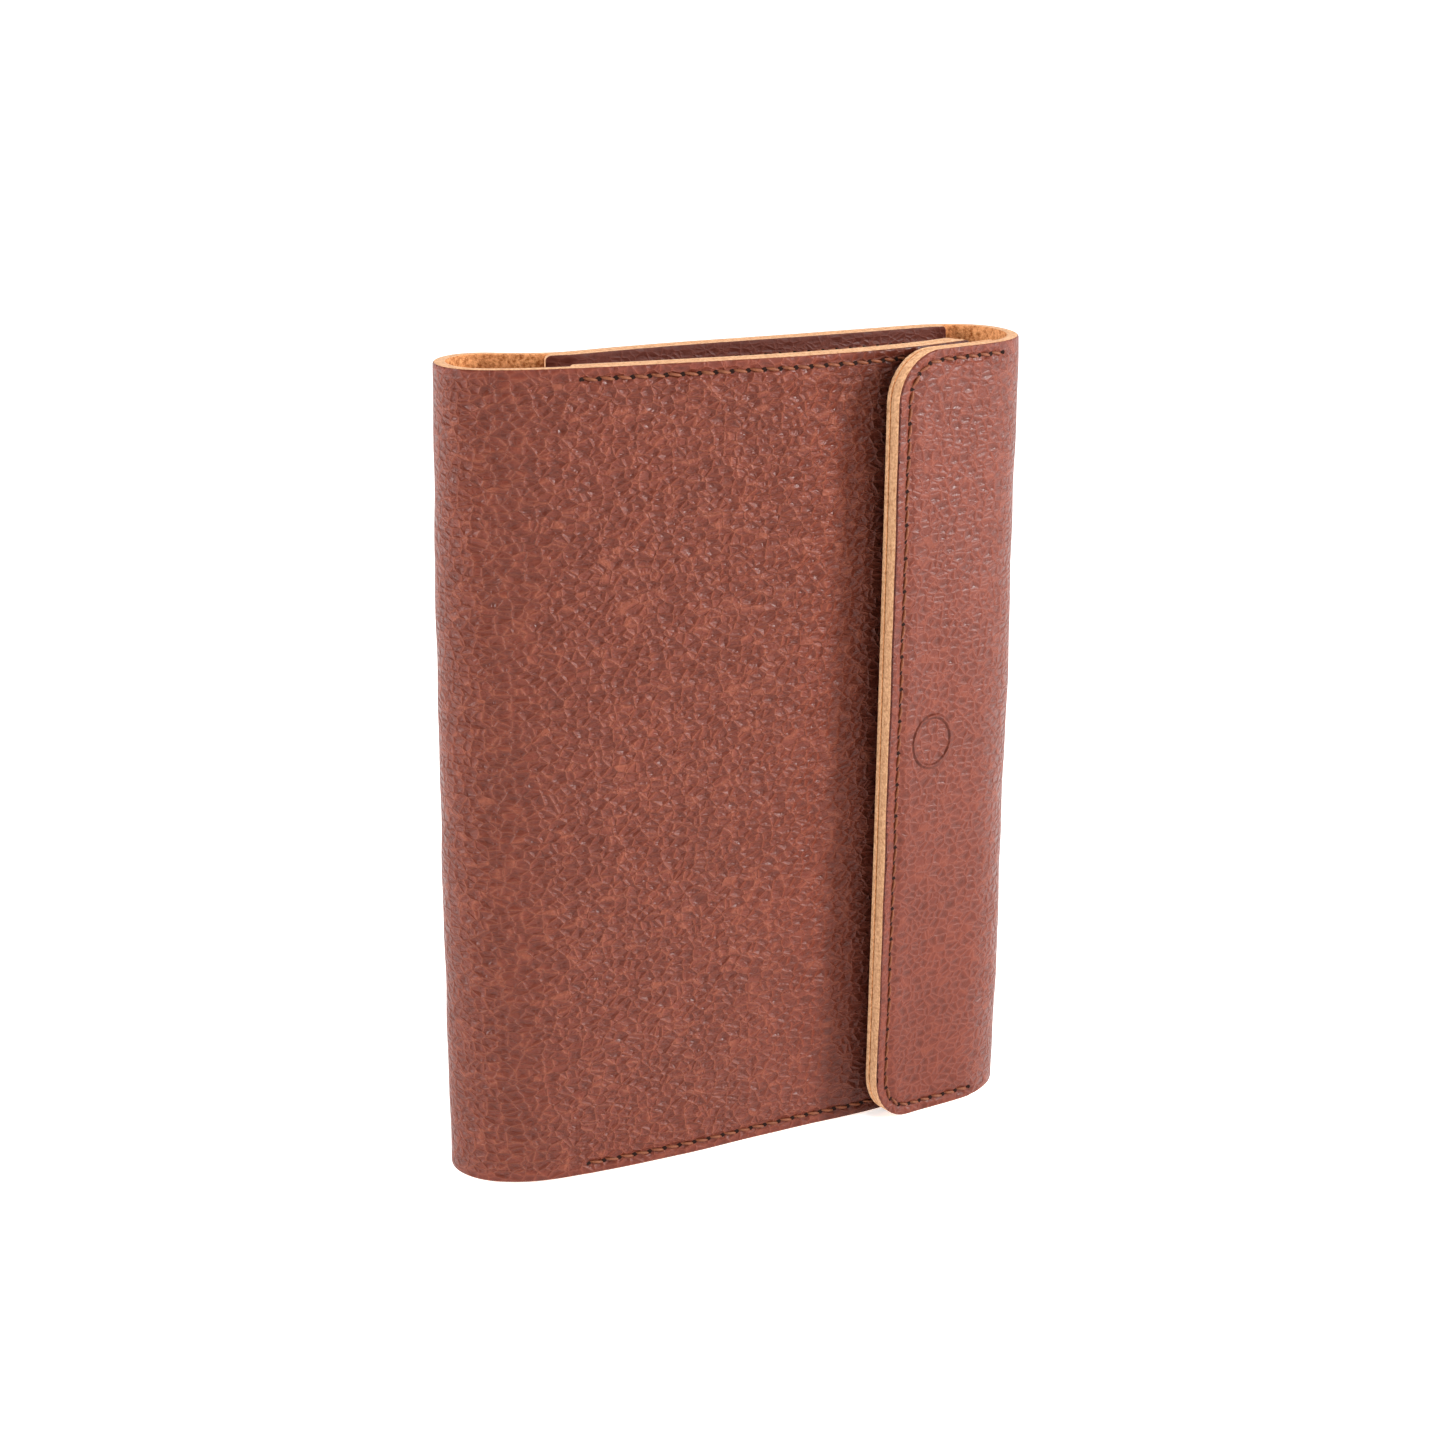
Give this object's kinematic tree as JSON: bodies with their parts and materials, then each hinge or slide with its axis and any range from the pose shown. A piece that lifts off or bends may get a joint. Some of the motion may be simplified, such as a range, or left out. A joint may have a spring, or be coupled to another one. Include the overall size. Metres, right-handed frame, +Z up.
{
  "type": "leather notebook cover",
  "caption": "Closed wrap-round leather cover for a pocket notebook, with a rounded spine, sewn inner pockets and a lined fore-edge flap.",
  "frame": {"origin": "middle of the footprint, on the surface that the cover stands on", "axes": "+X to the fore-edge, -Y to the front with the flap, +Z up along the folds"},
  "size_m": [0.125, 0.0372, 0.16],
  "materials": {
    "grain_leather": "pebbled grain, semi-matt, tan cut edges",
    "lining_leather": "pebbled grain, semi-matt",
    "sewing_thread": "waxed polyester",
    "magnet": "nickel plated"
  },
  "bodies": {
    "back": {"back_cover": "grain_leather", "back_pocket": "lining_leather", "back_seam_needle_thread": "sewing_thread", "back_seam_bobbin_thread": "sewing_thread"},
    "spine_back": {"spine_back_strip": "grain_leather"},
    "spine_middle": {"spine_middle_strip": "grain_leather"},
    "spine_front": {"spine_front_strip": "grain_leather"},
    "front": {"front_cover": "grain_leather", "front_pocket": "lining_leather", "front_seam_needle_thread": "sewing_thread", "front_seam_bobbin_thread": "sewing_thread", "cover_magnet_upper": "magnet", "cover_magnet_lower": "magnet"},
    "turn_back": {"turn_back_strip": "grain_leather"},
    "turn_middle": {"turn_middle_strip": "grain_leather"},
    "turn_front": {"turn_front_strip": "grain_leather"},
    "flap": {"flap": "grain_leather", "flap_lining": "lining_leather", "flap_seam_needle_thread": "sewing_thread", "flap_seam_bobbin_thread": "sewing_thread", "flap_magnet_upper": "magnet", "flap_magnet_lower": "magnet"}
  },
  "joints": [
    {"name": "turn_fold", "type": "hinge", "parent": "back", "child": "turn_back", "pos_m": [0.0525, 0.01759, 0], "axis": [0, 0, 1], "range_deg": [0, 45]},
    {"name": "turn_fold_outer", "type": "hinge", "parent": "turn_back", "child": "turn_middle", "pos_m": [0.0625, 0.00759, 0], "axis": [0, 0, 1], "range_deg": [0, 45]},
    {"name": "flap_fold", "type": "hinge", "parent": "turn_middle", "child": "turn_front", "pos_m": [0.0625, -0.00301, 0], "axis": [0, 0, 1], "range_deg": [0, 45]},
    {"name": "flap_fold_inner", "type": "hinge", "parent": "turn_front", "child": "flap", "pos_m": [0.0525, -0.01301, 0], "axis": [0, 0, 1], "range_deg": [0, 36]},
    {"name": "spine_fold_back", "type": "hinge", "parent": "back", "child": "spine_back", "pos_m": [-0.0535, 0.01759, 0], "axis": [0, 0, -1], "range_deg": [0, 45]},
    {"name": "spine_fold_left_back", "type": "hinge", "parent": "spine_back", "child": "spine_middle", "pos_m": [-0.0625, 0.00859, 0], "axis": [0, 0, -1], "range_deg": [0, 45]},
    {"name": "spine_fold_left_front", "type": "hinge", "parent": "spine_middle", "child": "spine_front", "pos_m": [-0.0625, -0.00141, 0], "axis": [0, 0, -1], "range_deg": [0, 45]},
    {"name": "cover_fold", "type": "hinge", "parent": "spine_front", "child": "front", "pos_m": [-0.0535, -0.01041, 0], "axis": [0, 0, -1], "range_deg": [0, 45]}
  ],
  "couplings": [
    {"joint": "turn_fold_outer", "follows": "turn_fold", "ratio": 1},
    {"joint": "flap_fold_inner", "follows": "flap_fold", "ratio": 0.8},
    {"joint": "spine_fold_back", "follows": "turn_fold", "ratio": 0.11111},
    {"joint": "spine_fold_left_back", "follows": "turn_fold", "ratio": 0.11111},
    {"joint": "spine_fold_left_front", "follows": "turn_fold", "ratio": 0.11111},
    {"joint": "cover_fold", "follows": "turn_fold", "ratio": 0.11111}
  ]
}
